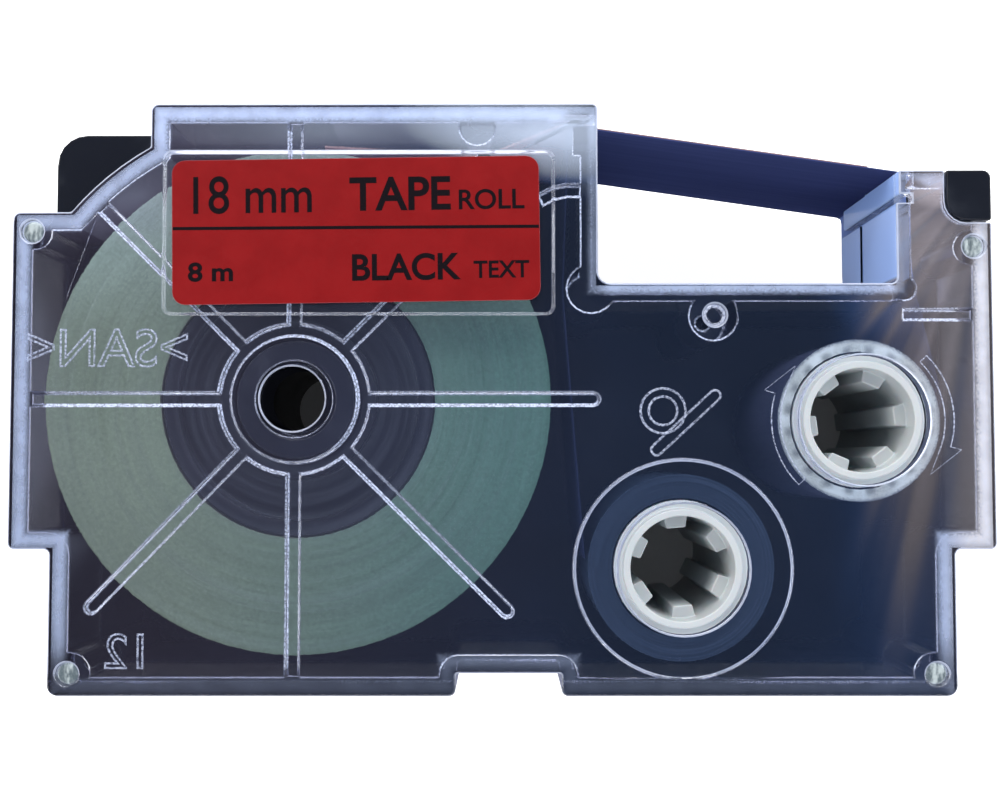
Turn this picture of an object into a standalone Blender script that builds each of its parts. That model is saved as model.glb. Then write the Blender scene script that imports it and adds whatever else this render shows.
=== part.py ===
"""A thermal-transfer label tape cartridge, 75 mm long, lying flat with its clear cover up.

A black tray and a clear cover snap together on five pins. The tray is open at the window's right
side, where only the cover's skirt stands before the ribbon. Between them sit a roll of 18 mm
label tape on a black core, a ribbon supply hub with its wound ink ribbon, and a ribbon take-up
hub with its clear leader. Tape and ribbon leave the case at the left of the print window, cross
the window together, and the ribbon goes round a tab into the case again, to the take-up hub.

Axes: +X to the right, +Y to the back, where the print window is, +Z up through the cover.
The origin is under the middle of the case, on its base. Every length here is in millimetres,
and MM turns it into Blender's metres.
"""

import math

import bmesh
import bpy

MM = 0.001

# Case: overall size, thicknesses and the height where tray and cover meet.
LENGTH, WIDTH, HEIGHT = 75.0, 45.2, 23.0
RIGHT, BACK = LENGTH / 2, WIDTH / 2
WALL = 1.2
FLOOR_TOP = 1.2
ROOF_UNDER = HEIGHT - 1.2
PARTING = 13.5
PARTING_GAP = 0.15
FLANGE_LOW = PARTING - 2.3
FLANGE_ROUND = 2.5

# Case outline, seen from above.
STEP_IN, STEP_Y = 3.15, -11.6
SHOULDER_X, SHOULDER_Y, SHOULDER_ARC = -27.0, 14.2, 22.3
WINDOW_LEFT, WINDOW_RIGHT, WINDOW_FRONT = 7.36, 30.2, 8.7
BACK_RIGHT = 17.4
OPENING_FRONT, OPENING_RIGHT, SKIRT_LOW = 9.6, 32.2, 7.1
NOTCH_LEFT, NOTCH_RIGHT, NOTCH_DEEP = -3.5, 4.5, 1.7

# The three axes that turn, and the sizes around them.
TAPE_AXIS = (-15.97, -0.14)
SUPPLY_AXIS = (13.8, -13.1)
TAKEUP_AXIS = (27.65, -1.76)
CORE_BORE, CORE_RADIUS, ROLL_RADIUS = 4.9, 10.6, 19.8
HUB_BORE, HUB_END, HUB_DRUM, TOOTH_TIP = 4.0, 4.56, 5.2, 3.0
SUPPLY_ROLL, TAKEUP_ROLL = 7.2, 6.3
HUB_HOLE = 4.95
SUPPLY_RING, SUPPLY_RING_DEEP = 8.31, 0.2
TEETH = 6
SUPPLY_PHASE, TAKEUP_PHASE = 34.4, 7.0

# Heights of what is inside.
TAPE_LOW, TAPE_HIGH = 1.7, 19.7
RIBBON_LOW, RIBBON_HIGH = 2.2, 20.7
HUB_LOW, HUB_HIGH = 0.6, 22.2
DRUM_LOW, DRUM_HIGH = 2.1, 20.9
TOOTH_LOW, TOOTH_HIGH = 2.6, 20.2
POST_HIGH = 20.9
SHEET_THICK = 0.15
FILM_GAP = 0.15

# Fixed posts: (x, y, radius). The first five take the cover's pins.
PIN_BOSSES = [
    (-36.0, 12.7, 1.2),
    (-32.84, -20.94, 1.45),
    (32.8, -20.94, 1.45),
    (36.1, 11.52, 1.25),
    (16.27, 6.24, 1.82),
]
PIN_RADIUS, SOCKET_RADIUS, DIMPLE_RADIUS = 0.55, 0.72, 0.87
PIN_LOW, SOCKET_LOW, DIMPLE_DEEP = 9.5, 9.0, 0.5
WINDOW_BOSS = (6.87, 8.36, 1.82)
TURN_BOSS = (30.99, 8.36, 0.84)
TAPE_BOSS = (-1.9, 20.95, 1.35)

# Ribs under the cover, which meet in a ring over the tape roll.
RIB_WIDTH, RIB_DEEP = 0.95, 0.8
RING_INNER, RING_OUTER = 4.9, 5.78
SPOUT_BORE, SPOUT_OUTER, SPOUT_LOW = 2.46, 2.9, 17.0

# Label and the recess it lies in.
RECESS_X, RECESS_Y, RECESS_DEEP, RECESS_ROUND = (-25.9, 3.95), (6.35, 18.85), 0.35, 0.6
LABEL_CENTRE, LABEL_SIZE, LABEL_ROUND = (-11.2, 12.8), (28.2, 11.15), 1.0
LABEL_TURN, LABEL_THICK = 0.8, 0.12

# Sides of a full circle.
FINE, MEDIUM, COARSE = 72, 48, 20


# ---------------------------------------------------------------- outlines


def arc(centre, radius, start, end, steps):
    """Points on an arc, from one angle to the other in degrees, both ends included."""
    angles = [math.radians(start + (end - start) * i / steps) for i in range(steps + 1)]
    return [(centre[0] + radius * math.cos(a), centre[1] + radius * math.sin(a)) for a in angles]


def circle(centre, radius, steps):
    return arc(centre, radius, 0, 360, steps)[:-1]


def box_outline(left, front, right, back):
    return [(left, front), (right, front), (right, back), (left, back)]


def moved_in(corners, distance):
    """The corners of an outline that runs anticlockwise, each moved so that its sides shift in."""
    result = []
    for i, (x, y, radius) in enumerate(corners):
        before, after = corners[i - 1], corners[(i + 1) % len(corners)]
        a = math.atan2(y - before[1], x - before[0])
        b = math.atan2(after[1] - y, after[0] - x)
        half = (b - a) / 2
        reach = distance / math.cos(half)
        turned_in = (a + b) / 2 + math.pi / 2
        place = (x + reach * math.cos(turned_in), y + reach * math.sin(turned_in))
        bend = math.sin(b - a)
        fitted = radius - distance if bend > 0 else radius + distance
        result.append((*place, max(fitted, 0.0) if radius else 0.0))
    return result


def rounded(corners, steps=5):
    """An outline with each (x, y, radius) corner rounded to its radius."""
    points = []
    for i, (x, y, radius) in enumerate(corners):
        if radius < 0.05:
            points.append((x, y))
            continue
        before, after = corners[i - 1], corners[(i + 1) % len(corners)]
        a = math.atan2(y - before[1], x - before[0])
        b = math.atan2(after[1] - y, after[0] - x)
        turn = math.remainder(b - a, math.tau)
        reach = radius * abs(math.tan(turn / 2))
        side = math.copysign(radius, turn)
        start = (x - reach * math.cos(a), y - reach * math.sin(a))
        centre = (start[0] - side * math.sin(a), start[1] + side * math.cos(a))
        first = math.degrees(a) - math.copysign(90, turn)
        points += arc(centre, radius, first, first + math.degrees(turn), steps)
    return points


def case_corners(flange=False):
    """The case's corners, anticlockwise from its front left. The flange fills the stepped corners."""
    window = [
        (RIGHT, BACK_RIGHT, 0.6),
        (WINDOW_RIGHT, BACK_RIGHT, 0.2),
        (WINDOW_RIGHT, WINDOW_FRONT, 0.45),
        (WINDOW_LEFT, WINDOW_FRONT, 0.9),
        (WINDOW_LEFT, BACK, 0.4),
    ]
    notch = [
        (NOTCH_LEFT, -BACK, 0.5),
        (NOTCH_LEFT, NOTCH_DEEP - BACK, 0.2),
        (NOTCH_RIGHT, NOTCH_DEEP - BACK, 0.2),
        (NOTCH_RIGHT, -BACK, 0.5),
    ]
    if flange:
        front_left = [(-RIGHT, -BACK, FLANGE_ROUND)]
        front_right = [(RIGHT, -BACK, FLANGE_ROUND)]
        back_left = [(-RIGHT, BACK, FLANGE_ROUND)]
        return front_left + notch + front_right + window + back_left
    step_x = RIGHT - STEP_IN
    front_right = [(step_x, -BACK, 0.8), (step_x, STEP_Y, 0.4), (RIGHT, STEP_Y, 0.5)]
    front_left = [(-RIGHT, STEP_Y, 0.5), (-step_x, STEP_Y, 0.4), (-step_x, -BACK, 0.8)]
    start = math.degrees(math.acos((SHOULDER_X - TAPE_AXIS[0]) / SHOULDER_ARC))
    end = 180 - math.degrees(math.asin((SHOULDER_Y - TAPE_AXIS[1]) / SHOULDER_ARC))
    shoulder = [(x, y, 0.0) for x, y in arc(TAPE_AXIS, SHOULDER_ARC, start, end, 6)]
    back_left = [(SHOULDER_X, BACK, 0.6)] + shoulder + [(-RIGHT, SHOULDER_Y, 0.6)]
    return notch + front_right + window + back_left + front_left


def capsule(start, end, width, steps=5):
    """A bar with round ends, given its two end points."""
    along = math.degrees(math.atan2(end[1] - start[1], end[0] - start[0]))
    return arc(end, width / 2, along - 90, along + 90, steps) + arc(
        start, width / 2, along + 90, along + 270, steps
    )


def web_outline(path, thickness):
    """Both sides of a thin film that follows a path, its corners mitred."""
    left, right = [], []
    for i, (x, y) in enumerate(path):
        before, after = path[max(i - 1, 0)], path[min(i + 1, len(path) - 1)]
        a = math.atan2(y - before[1], x - before[0]) if i else None
        b = math.atan2(after[1] - y, after[0] - x) if i < len(path) - 1 else None
        a = b if a is None else a
        b = a if b is None else b
        turn = math.remainder(b - a, math.tau)
        reach = thickness / 2 / math.cos(turn / 2)
        across = a + turn / 2 + math.pi / 2
        left.append((x + reach * math.cos(across), y + reach * math.sin(across)))
        right.append((x - reach * math.cos(across), y - reach * math.sin(across)))
    return right + left[::-1]


# ---------------------------------------------------------------- Blender helpers


def material(name, colour, roughness, alpha=1.0):
    made = bpy.data.materials.new(name)
    made.use_nodes = True
    shader = made.node_tree.nodes["Principled BSDF"]
    shader.inputs["Base Color"].default_value = (*colour, 1.0)
    shader.inputs["Roughness"].default_value = roughness
    shader.inputs["Metallic"].default_value = 0.0
    shader.inputs["Alpha"].default_value = alpha
    return made


def add(name, bm, surface=None, smooth=False):
    """Turns a bmesh in millimetres into an object in metres."""
    bmesh.ops.recalc_face_normals(bm, faces=bm.faces)
    bmesh.ops.scale(bm, vec=(MM, MM, MM), verts=bm.verts)
    mesh = bpy.data.meshes.new(name)
    bm.to_mesh(mesh)
    bm.free()
    if smooth:
        mesh.shade_smooth()
        mesh.set_sharp_from_angle(angle=math.radians(35))
    if surface:
        mesh.materials.append(surface)
    made = bpy.data.objects.new(name, mesh)
    bpy.context.scene.collection.objects.link(made)
    return made


def prisms(name, pieces, surface=None, smooth=False):
    """Upright solids, each an outline drawn from its low to its high level, in one object."""
    bm = bmesh.new()
    for outline, low, high in pieces:
        base = bm.faces.new([bm.verts.new((x, y, low)) for x, y in outline])
        lifted = bmesh.ops.extrude_face_region(bm, geom=[base], use_keep_orig=True)
        top = [item for item in lifted["geom"] if isinstance(item, bmesh.types.BMVert)]
        bmesh.ops.translate(bm, vec=(0, 0, high - low), verts=top)
    return add(name, bm, surface, smooth)


def turned(name, axis, profile, steps, surface=None):
    """A ring turned round an upright axis from a closed (radius, height) profile."""
    bm = bmesh.new()
    rings = []
    for x, y in circle((0, 0), 1, steps):
        rings.append([bm.verts.new((axis[0] + r * x, axis[1] + r * y, z)) for r, z in profile])
    for i, ring in enumerate(rings):
        following = rings[(i + 1) % steps]
        for j in range(len(profile)):
            k = (j + 1) % len(profile)
            bm.faces.new((ring[j], ring[k], following[k], following[j]))
    return add(name, bm, surface, smooth=True)


def boolean(target, tool, operation, overlapping=False):
    """Cuts a hidden tool from the target, or joins it on."""
    tool.hide_render = True
    tool.display_type = "WIRE"
    modifier = target.modifiers.new(tool.name, "BOOLEAN")
    modifier.operation = operation
    modifier.solver = "EXACT"
    modifier.use_self = overlapping
    modifier.object = tool


def cut(target, tool):
    boolean(target, tool, "DIFFERENCE")


def join(target, tool, overlapping=False):
    boolean(target, tool, "UNION", overlapping)


def plain_ring(outer, inner, low, high):
    return [(inner, low), (outer, low), (outer, high), (inner, high)]


# ---------------------------------------------------------------- the case


def film_slots(low, high):
    """Where tape and ribbon leave the case, and where the ribbon comes back in."""
    leave = box_outline(3.5, 20.95, WINDOW_LEFT + 0.5, 22.0)
    enter = box_outline(31.3, 16.0, 31.95, BACK_RIGHT + 0.5)
    return [(leave, low, high), (enter, low, high)]


def tab_trims():
    """The gaps that leave a thin tab at the window's back right corner."""
    outside, face, slot_end = WINDOW_RIGHT - 1, WINDOW_RIGHT + 0.25, WINDOW_RIGHT + WALL + 0.05
    slot_front, slot_back, beyond = 14.9, 15.55, BACK_RIGHT + 0.5
    slot = [(outside, slot_front), (slot_end, slot_front), (slot_end, slot_back), (face, slot_back)]
    return [(slot + [(face, beyond), (outside, beyond)], -1, HEIGHT + 1)]


def guides():
    """Fixed shapes inside both shells that the films run past, as outlines."""
    block = box_outline(5.55, 18.8, 6.6, 21.3)
    bracket = box_outline(-1.85, 18.15, -0.95, 18.95)
    return [block, bracket, circle(TAPE_BOSS[:2], TAPE_BOSS[2], COARSE)]


def bosses():
    posts = PIN_BOSSES + [WINDOW_BOSS, TURN_BOSS]
    return [circle((x, y), radius, COARSE) for x, y, radius in posts]


def cavity(name, low, high):
    """The room inside a shell, with its bosses and guides left standing."""
    room = prisms(name, [(rounded(moved_in(case_corners(), WALL)), low, high)])
    standing = [(outline, low - 1, high + 1) for outline in bosses() + guides()]
    cut(room, prisms(name + "_standing", standing))
    return room


def hub_holes(name, low, high):
    return prisms(
        name, [(circle(axis, HUB_HOLE, MEDIUM), low, high) for axis in (SUPPLY_AXIS, TAKEUP_AXIS)]
    )


def key_block_outline(gap, beyond):
    """The tray's solid back right corner, which a cut-out of the cover leaves bare."""
    left, front = 33.95 + gap, 13.38 + gap
    right, back = RIGHT + beyond, BACK_RIGHT + beyond
    corners = [(left, front, 1.65 - gap), (right, front, 0.0), (right, back, 0.6), (left, back, 0.0)]
    return rounded(corners)


def build_lower_case(surface):
    tray = prisms("lower_case", [(rounded(case_corners()), 0, PARTING)], surface)
    flange = rounded(case_corners(flange=True))
    join(tray, prisms("tray_flange", [(flange, FLANGE_LOW, PARTING)]))
    cut(tray, cavity("tray_room", FLOOR_TOP, PARTING + 1))
    post = plain_ring(CORE_BORE - 0.3, SPOUT_OUTER + 0.15, FLOOR_TOP / 2, POST_HIGH)
    join(tray, turned("tray_post", TAPE_AXIS, post, MEDIUM))
    join(tray, prisms("tray_key_block", [(key_block_outline(0.15, 0), 0.6, HEIGHT)]))
    cut(tray, prisms("tray_slots", film_slots(FLOOR_TOP, PARTING + 1)))
    opening = box_outline(WINDOW_RIGHT - 1, OPENING_FRONT, OPENING_RIGHT, BACK_RIGHT + 1)
    cut(tray, prisms("tray_opening", [(opening, -1, PARTING + 1)]))
    cut(tray, hub_holes("tray_hub_holes", -1, FLOOR_TOP + 1))
    sockets = [(circle((x, y), SOCKET_RADIUS, 12), SOCKET_LOW, PARTING + 1) for x, y, _ in PIN_BOSSES]
    sockets.append((circle(TAPE_AXIS, SPOUT_OUTER + 0.15, MEDIUM), -1, FLOOR_TOP + 1))
    cut(tray, prisms("tray_sockets", sockets))


def cover_ribs():
    """Eight ribs from the ring over the tape roll: some to the walls, some to a round end."""
    inner = (RING_INNER + RING_OUTER) / 2 + 0.15
    ends = {
        0: 23.0,
        45: 21.8,
        90: BACK - WALL / 2 - TAPE_AXIS[1],
        135: 21.4,
        180: RIGHT - WALL / 2 + TAPE_AXIS[0],
        226: 22.1,
        270: BACK - WALL / 2 + TAPE_AXIS[1],
        315.3: 23.0,
    }
    ribs = []
    for angle, reach in ends.items():
        way = (math.cos(math.radians(angle)), math.sin(math.radians(angle)))
        start = [TAPE_AXIS[i] + inner * way[i] for i in (0, 1)]
        end = [TAPE_AXIS[i] + reach * way[i] for i in (0, 1)]
        ribs.append(capsule(start, end, RIB_WIDTH))
    ribs.append(web_outline([(3.0, 15.3), (3.9, 15.75), (5.0, 16.0), (6.6, 16.0)], 0.9))
    ribs.append(web_outline([(30.9, 6.35), (36.8, 6.35)], 0.8))
    return [(outline, ROOF_UNDER - RIB_DEEP, ROOF_UNDER + 0.4) for outline in ribs]


def build_upper_case(surface):
    low = PARTING + PARTING_GAP
    cover = prisms("upper_case", [(rounded(case_corners()), low, HEIGHT)], surface)
    cut(cover, cavity("cover_room", low - 1, ROOF_UNDER))
    join(cover, prisms("cover_ribs", cover_ribs()))
    ring = plain_ring(RING_OUTER, RING_INNER, ROOF_UNDER - RIB_DEEP, ROOF_UNDER + 0.5)
    join(cover, turned("cover_ring", TAPE_AXIS, ring, MEDIUM))
    spout = circle(TAPE_AXIS, SPOUT_OUTER, MEDIUM)
    join(cover, prisms("cover_spout", [(spout, SPOUT_LOW, ROOF_UNDER + 0.6)]))
    pins = [(circle((x, y), PIN_RADIUS, 12), PIN_LOW, ROOF_UNDER + 0.4) for x, y, _ in PIN_BOSSES]
    join(cover, prisms("cover_pins", pins))
    inset = 0.05
    skirt = box_outline(
        WINDOW_RIGHT + inset,
        OPENING_FRONT + PARTING_GAP,
        WINDOW_RIGHT + WALL - inset,
        BACK_RIGHT - inset,
    )
    join(cover, prisms("cover_skirt", [(skirt, SKIRT_LOW, low + 0.4)]))
    cut(cover, prisms("cover_slots", film_slots(SKIRT_LOW - 1, ROOF_UNDER - 0.4)))
    cut(cover, prisms("cover_tab_trims", tab_trims()))
    cut(cover, prisms("cover_key_gap", [(key_block_outline(0, 1), low - 1, HEIGHT + 1)]))
    cut(cover, hub_holes("cover_hub_holes", ROOF_UNDER - 1, HEIGHT + 1))
    relief = circle(SUPPLY_AXIS, SUPPLY_RING, FINE)
    relief_top = ROOF_UNDER + SUPPLY_RING_DEEP
    cut(cover, prisms("cover_supply_relief", [(relief, ROOF_UNDER - 0.5, relief_top)]))
    corners = box_outline(RECESS_X[0], RECESS_Y[0], RECESS_X[1], RECESS_Y[1])
    recess = rounded([(x, y, RECESS_ROUND) for x, y in corners])
    top_cuts = [(recess, HEIGHT - RECESS_DEEP, HEIGHT + 1)]
    for x, y, _ in PIN_BOSSES:
        top_cuts.append((circle((x, y), DIMPLE_RADIUS, COARSE), HEIGHT - DIMPLE_DEEP, HEIGHT + 1))
    top_cuts.append((circle(TAPE_AXIS, SPOUT_BORE, MEDIUM), SPOUT_LOW - 1, HEIGHT + 1))
    cut(cover, prisms("cover_top_cuts", top_cuts))


def build_face_label(surface):
    """A sticker with round corners, laid a little askew in the cover's recess."""
    half_x, half_y = LABEL_SIZE[0] / 2, LABEL_SIZE[1] / 2
    outline = rounded([(x, y, LABEL_ROUND) for x, y in box_outline(-half_x, -half_y, half_x, half_y)])
    low = HEIGHT - RECESS_DEEP + 0.1
    label = prisms("face_label", [(outline, low, low + LABEL_THICK)], surface)
    label.location = (LABEL_CENTRE[0] * MM, LABEL_CENTRE[1] * MM, 0)
    label.rotation_euler.z = math.radians(LABEL_TURN)


# ---------------------------------------------------------------- label tape


def build_tape_core(surface):
    """A flanged bush: sleeve, web and rim, with a groove round its top face."""
    groove_in, groove_out, groove_low = 6.2, 9.4, TAPE_HIGH - 1.2
    profile = [
        (CORE_BORE, TAPE_LOW),
        (CORE_RADIUS, TAPE_LOW),
        (CORE_RADIUS, TAPE_HIGH),
        (groove_out, TAPE_HIGH),
        (groove_out, groove_low),
        (groove_in, groove_low),
        (groove_in, TAPE_HIGH),
        (CORE_BORE, TAPE_HIGH),
    ]
    turned("tape_core", TAPE_AXIS, profile, MEDIUM, surface)


def build_tape_roll(surface):
    profile = plain_ring(ROLL_RADIUS, CORE_RADIUS + FILM_GAP, TAPE_LOW, TAPE_HIGH)
    turned("tape_roll", TAPE_AXIS, profile, FINE, surface)


def build_tape_run(surface):
    """The tape off the top of the roll, past its boss, out of the case and behind the ribbon."""
    path = [(-14.0, 19.95), (-1.9, 19.26), (-0.6, 19.5), (4.6, 21.62), (5.6, 21.72), (29.0, 18.38)]
    prisms("tape_run", [(web_outline(path, 0.15), TAPE_LOW, TAPE_HIGH)], surface)


def build_slip_sheets(surface):
    """Thin film discs that keep the roll off the floor and off the cover's ribs."""
    for name, low in (("lower_slip_sheet", FLOOR_TOP + 0.15), ("upper_slip_sheet", TAPE_HIGH + 0.15)):
        profile = plain_ring(ROLL_RADIUS - 0.3, CORE_BORE + 0.3, low, low + SHEET_THICK)
        turned(name, TAPE_AXIS, profile, MEDIUM, surface)


# ---------------------------------------------------------------- ribbon


def build_hub(name, axis, phase, surface):
    """A tube with thinner ends that turn in the case, and six teeth inside for a drive shaft."""
    profile = [
        (HUB_BORE, HUB_LOW),
        (HUB_END, HUB_LOW),
        (HUB_END, DRUM_LOW),
        (HUB_DRUM, DRUM_LOW),
        (HUB_DRUM, DRUM_HIGH),
        (HUB_END, DRUM_HIGH),
        (HUB_END, HUB_HIGH),
        (HUB_BORE, HUB_HIGH),
    ]
    hub = turned(name, axis, profile, MEDIUM, surface)
    root = HUB_BORE + 0.3
    teeth = []
    for i in range(TEETH):
        way = math.radians(phase + 360 / TEETH * i)
        c, s = math.cos(way), math.sin(way)
        shape = [(TOOTH_TIP, -0.75), (root, -1.0), (root, 1.0), (TOOTH_TIP, 0.75)]
        outline = [(axis[0] + r * c - w * s, axis[1] + r * s + w * c) for r, w in shape]
        teeth.append((outline, TOOTH_LOW, TOOTH_HIGH))
    join(hub, prisms(name + "_teeth", teeth))


def build_wound_film(name, axis, radius, surface):
    profile = plain_ring(radius, HUB_DRUM + FILM_GAP, RIBBON_LOW, RIBBON_HIGH)
    turned(name, axis, profile, MEDIUM, surface)


def build_brake_washer(surface):
    """A felt ring under the supply drum, so that the ribbon doesn't unwind by itself."""
    profile = plain_ring(6.8, HUB_HOLE + 0.05, FLOOR_TOP + 0.1, DRUM_LOW - 0.15)
    turned("supply_brake_washer", SUPPLY_AXIS, profile, MEDIUM, surface)


def build_ribbon_run(surface):
    """The ribbon from the supply roll to the take-up roll, round two bosses and the tab."""
    supply_side = [(6.36, -12.4), (4.75, 8.0), (4.75, 8.8), (5.2, 20.9), (5.4, 21.3), (5.8, 21.36)]
    tab_side = [(31.2, 17.74), (31.55, 17.55), (31.64, 17.1)]
    takeup_side = tab_side + [(31.66, 12.0), (32.05, 8.6), (34.2, -0.6)]
    path = supply_side + takeup_side
    prisms("ribbon_run", [(web_outline(path, 0.1), RIBBON_LOW, RIBBON_HIGH)], surface)


# ---------------------------------------------------------------- the cartridge


def main():
    for old in list(bpy.data.objects):
        bpy.data.objects.remove(old, do_unlink=True)

    clear = material("clear_plastic", (0.72, 0.78, 0.9), 0.12, alpha=0.35)
    black = material("black_plastic", (0.012, 0.013, 0.018), 0.35)
    red = material("red_label", (0.42, 0.012, 0.02), 0.45)
    tape = material("label_tape", (0.19, 0.24, 0.19), 0.7)
    film = material("clear_film", (0.75, 0.8, 0.85), 0.2, alpha=0.35)
    white = material("white_plastic", (0.7, 0.75, 0.77), 0.35)
    ink = material("ink_ribbon", (0.015, 0.02, 0.075), 0.3)
    leader = material("leader_film", (0.62, 0.68, 0.72), 0.3)
    felt = material("felt", (0.25, 0.25, 0.26), 0.95)

    build_lower_case(black)
    build_upper_case(clear)
    build_face_label(red)
    build_tape_core(black)
    build_tape_roll(tape)
    build_tape_run(red)
    build_slip_sheets(film)
    build_hub("ribbon_supply_hub", SUPPLY_AXIS, SUPPLY_PHASE, white)
    build_wound_film("ribbon_supply_roll", SUPPLY_AXIS, SUPPLY_ROLL, ink)
    build_brake_washer(felt)
    build_hub("ribbon_takeup_hub", TAKEUP_AXIS, TAKEUP_PHASE, white)
    build_wound_film("ribbon_leader_roll", TAKEUP_AXIS, TAKEUP_ROLL, leader)
    build_ribbon_run(ink)


main()
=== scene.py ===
"""The looks of a label tape cartridge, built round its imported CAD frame.

The cartridge lies flat under its clear cover, seen from above. Lengths here are in millimetres in
the CAD's axes (+X right, +Y back, +Z up), and MM turns them into Blender's metres.
"""

import math

import bmesh
import bpy
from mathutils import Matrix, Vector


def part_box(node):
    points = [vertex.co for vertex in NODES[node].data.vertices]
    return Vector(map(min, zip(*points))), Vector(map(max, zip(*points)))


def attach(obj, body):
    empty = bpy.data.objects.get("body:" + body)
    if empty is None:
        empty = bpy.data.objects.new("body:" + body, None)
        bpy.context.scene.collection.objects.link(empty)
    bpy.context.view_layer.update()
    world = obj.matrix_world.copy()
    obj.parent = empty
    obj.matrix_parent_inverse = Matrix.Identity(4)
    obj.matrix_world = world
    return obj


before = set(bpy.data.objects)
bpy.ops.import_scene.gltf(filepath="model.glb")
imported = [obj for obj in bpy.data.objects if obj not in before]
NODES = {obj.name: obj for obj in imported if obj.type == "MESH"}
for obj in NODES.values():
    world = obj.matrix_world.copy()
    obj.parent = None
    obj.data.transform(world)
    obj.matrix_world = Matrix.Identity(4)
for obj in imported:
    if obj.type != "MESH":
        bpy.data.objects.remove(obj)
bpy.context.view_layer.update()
MM = 0.001

# Camera: over the middle of the case, tilted a little towards its back. Its turns are in degrees.
CAMERA_AT = (0.03, -4.80, 119.01)
CAMERA_TURN = (2.709, 0.105, -0.015)
CAMERA_LENS = 45.49


def middle(node):
    """The middle of a CAD node's box, in millimetres."""
    low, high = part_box(node)
    return [(a + b) / 2 / MM for a, b in zip(low, high)]


def top(node):
    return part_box(node)[1][2] / MM


# Places read from the frame.
TAPE_AXIS = middle("tape_core")[:2]
SUPPLY_AXIS = middle("ribbon_supply_hub")[:2]
TAKEUP_AXIS = middle("ribbon_takeup_hub")[:2]
COVER_TOP = top("upper_case")
LABEL_MIDDLE, LABEL_TOP = middle("face_label"), top("face_label")

# The case's outline. Its front end is narrower than the rest, with a notch in the middle.
WALL = 1.2
ROOF_UNDER = COVER_TOP - WALL
HALF_LONG, HALF_DEEP = 37.5, 22.6
HALF_FRONT, STEP_Y = 34.35, -11.6
NOTCH_LEFT, NOTCH_RIGHT, NOTCH_Y = -3.5, 4.5, -20.9
WINDOW_LEFT, WINDOW_RIGHT, WINDOW_FRONT = 7.36, 30.2, 8.7
BACK_RIGHT = 17.4

# The cover's pins near the corners of the case, the dimples over them, and the pins' broken ends:
# the radii of an end at its foot and its top, and its height.
CORNER_PINS = [(-36.0, 12.7), (-32.84, -20.94), (32.8, -20.94), (36.1, 11.52)]
DIMPLE_DEEP = 0.5
PIN_END_FOOT, PIN_END_TOP, PIN_END_HIGH = 0.82, 0.62, 0.25

# The label lies a little askew, and its printed rule less so. Both turns are in degrees.
LABEL_TURN, RULE_TURN = 0.8, 0.35
RULE_SIZE = (28.1, 0.24, 0.012)
INK_OVER, INK_THICK = 0.008, 0.006
CAP_SHARE = 0.729  # the height of a capital in Blender's own font, as a share of its size

# Soft reflections of the lamps, painted on the cover, as (middle, reach, turn in degrees, strength).
GLARES = [
    ((2.5, 20.2), (11.0, 3.6), -10.0, 0.40),
    ((5.5, 21.2), (4.5, 2.4), -15.0, 0.22),
    ((-14.0, 20.6), (22.0, 3.0), 0.0, 0.10),
    ((-28.0, 15.5), (12.0, 4.0), 0.0, 0.06),
    ((31.5, 12.5), (6.0, 9.0), -35.0, 0.11),
    ((33.4, 16.0), (2.6, 1.6), 0.0, 0.40),
    ((-36.0, 0.0), (4.0, 26.0), 0.0, 0.01),
]
STREAK_CORNER = (37.5, 18.0)

# ---------------------------------------------------------------- shader helpers


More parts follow.
